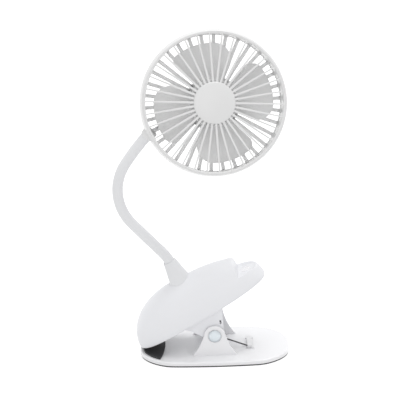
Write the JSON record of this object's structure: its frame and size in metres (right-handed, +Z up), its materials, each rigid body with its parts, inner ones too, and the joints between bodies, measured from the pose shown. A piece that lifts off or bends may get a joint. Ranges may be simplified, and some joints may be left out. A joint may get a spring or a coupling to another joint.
{
  "type": "clip fan",
  "caption": "Small round fan on a bendable neck, rising from a spring clip with a flat padded foot that clamps an edge or stands on a table",
  "frame": {"origin": "middle of the foot's underside, on the ground", "axes": "+Z up, +X towards the clip's thumb lever, -Y towards the side the fan blows"},
  "size_m": [0.1764, 0.0918, 0.332],
  "materials": {
    "white_gloss": "smooth glossy white",
    "white_satin": "fine satin white",
    "blade_grey": "smooth pale grey",
    "neck_sleeve": "soft satin white",
    "black_rubber": "matt black",
    "grey_rubber": "matt grey",
    "black_plastic": "matt black",
    "steel": "plain bright steel",
    "spring_steel": "dark oiled spring wire",
    "cell_sleeve": "blue shrink sleeve over a metal can",
    "board_green": "green circuit board",
    "copper": "varnished copper wire",
    "alloy": "cast alloy",
    "magnet": "dark grey ferrite"
  },
  "bodies": {
    "base": {"base_plate": "white_gloss", "rubber_sole": "black_rubber", "lower_jaw_pad": "black_rubber", "spring_seat": "steel", "pivot_pin": "steel", "pin_cap": "steel", "torsion_spring": "spring_steel"},
    "clip": {"upper_shell": "white_satin", "lower_cover": "white_satin", "cover_screws": "steel", "upper_jaw_pad": "grey_rubber", "battery_cells": "cell_sleeve", "battery_cradle": "black_plastic", "control_board": "board_green", "charge_port": "steel", "tact_switch": "black_plastic", "neck_socket": "white_satin", "socket_nut": "steel", "neck_cable": "black_plastic"},
    "button": {"power_button": "white_gloss"},
    "neck_1": {"neck_link_1": "neck_sleeve"},
    "neck_2": {"neck_link_2": "neck_sleeve"},
    "neck_3": {"neck_link_3": "neck_sleeve"},
    "neck_4": {"neck_link_4": "neck_sleeve"},
    "neck_5": {"neck_link_5": "neck_sleeve"},
    "neck_6": {"neck_link_6": "neck_sleeve"},
    "neck_7": {"neck_link_7": "neck_sleeve"},
    "head": {"neck_collar": "neck_sleeve", "head_ring": "white_gloss", "front_grille": "white_gloss", "centre_cap": "white_satin", "rear_grille": "white_gloss", "rear_cap": "white_gloss", "motor_base": "alloy", "motor_screws": "steel", "motor_board": "board_green", "motor_lead": "black_plastic", "stator_core": "steel", "stator_windings": "copper", "bearings": "steel"},
    "rotor": {"rotor_shaft": "steel", "rotor_can": "steel", "magnet_ring": "magnet", "fan_rotor": "blade_grey"}
  },
  "joints": [
    {"name": "clip_open", "type": "hinge", "parent": "base", "child": "clip", "pos_m": [0, 0, 0.0266], "axis": [0, 1, 0], "range_deg": [0, 30], "stiffness_Nm_per_rad": 1.15, "springref_deg": -34.38, "deforming": ["torsion_spring"]},
    {"name": "button_press", "type": "slide", "parent": "clip", "child": "button", "axis": [0.5, 0, -0.866], "range_m": [0, 0.0006], "stiffness_N_per_m": 800, "springref_m": -0.0005},
    {"name": "blade_spin", "type": "hinge", "parent": "head", "child": "rotor", "pos_m": [0.00446, 0.01225, 0.25933], "axis": [0.0674, -0.9636, 0.2588], "continuous": true},
    {"name": "neck_bend_1", "type": "hinge", "parent": "clip", "child": "neck_1", "pos_m": [-0.04499, 0, 0.10014], "axis": [0, 1, 0], "range_deg": [-15, 8], "deforming": ["neck_cable"]},
    {"name": "neck_side_1", "type": "hinge", "parent": "neck_1", "child": "neck_2", "pos_m": [-0.05833, 0, 0.11614], "axis": [0.7325, 0, 0.6807], "range_deg": [-12, 12]},
    {"name": "neck_bend_2", "type": "hinge", "parent": "neck_2", "child": "neck_3", "pos_m": [-0.07255, 0, 0.13144], "axis": [0, 1, 0], "range_deg": [-15, 8]},
    {"name": "neck_side_2", "type": "hinge", "parent": "neck_3", "child": "neck_4", "pos_m": [-0.08595, 0, 0.14741], "axis": [0.8555, 0, 0.5179], "range_deg": [-12, 12]},
    {"name": "neck_bend_3", "type": "hinge", "parent": "neck_4", "child": "neck_5", "pos_m": [-0.09284, 0, 0.16698], "axis": [0, 1, 0], "range_deg": [-15, 8]},
    {"name": "neck_side_3", "type": "hinge", "parent": "neck_5", "child": "neck_6", "pos_m": [-0.09134, 0, 0.18767], "axis": [0.9616, 0, -0.2746], "range_deg": [-12, 12]},
    {"name": "neck_bend_4", "type": "hinge", "parent": "neck_6", "child": "neck_7", "pos_m": [-0.08187, 0, 0.20616], "axis": [0, 1, 0], "range_deg": [-15, 8]},
    {"name": "neck_side_4", "type": "hinge", "parent": "neck_7", "child": "head", "pos_m": [-0.06919, 0, 0.22276], "axis": [0.7667, 0, -0.6421], "range_deg": [-12, 12]}
  ],
  "couplings": [
    {"joint": "neck_bend_2", "follows": "neck_bend_1", "ratio": 1},
    {"joint": "neck_bend_3", "follows": "neck_bend_1", "ratio": 1},
    {"joint": "neck_bend_4", "follows": "neck_bend_1", "ratio": 1},
    {"joint": "neck_side_2", "follows": "neck_side_1", "ratio": 1},
    {"joint": "neck_side_3", "follows": "neck_side_1", "ratio": 1},
    {"joint": "neck_side_4", "follows": "neck_side_1", "ratio": 1}
  ]
}
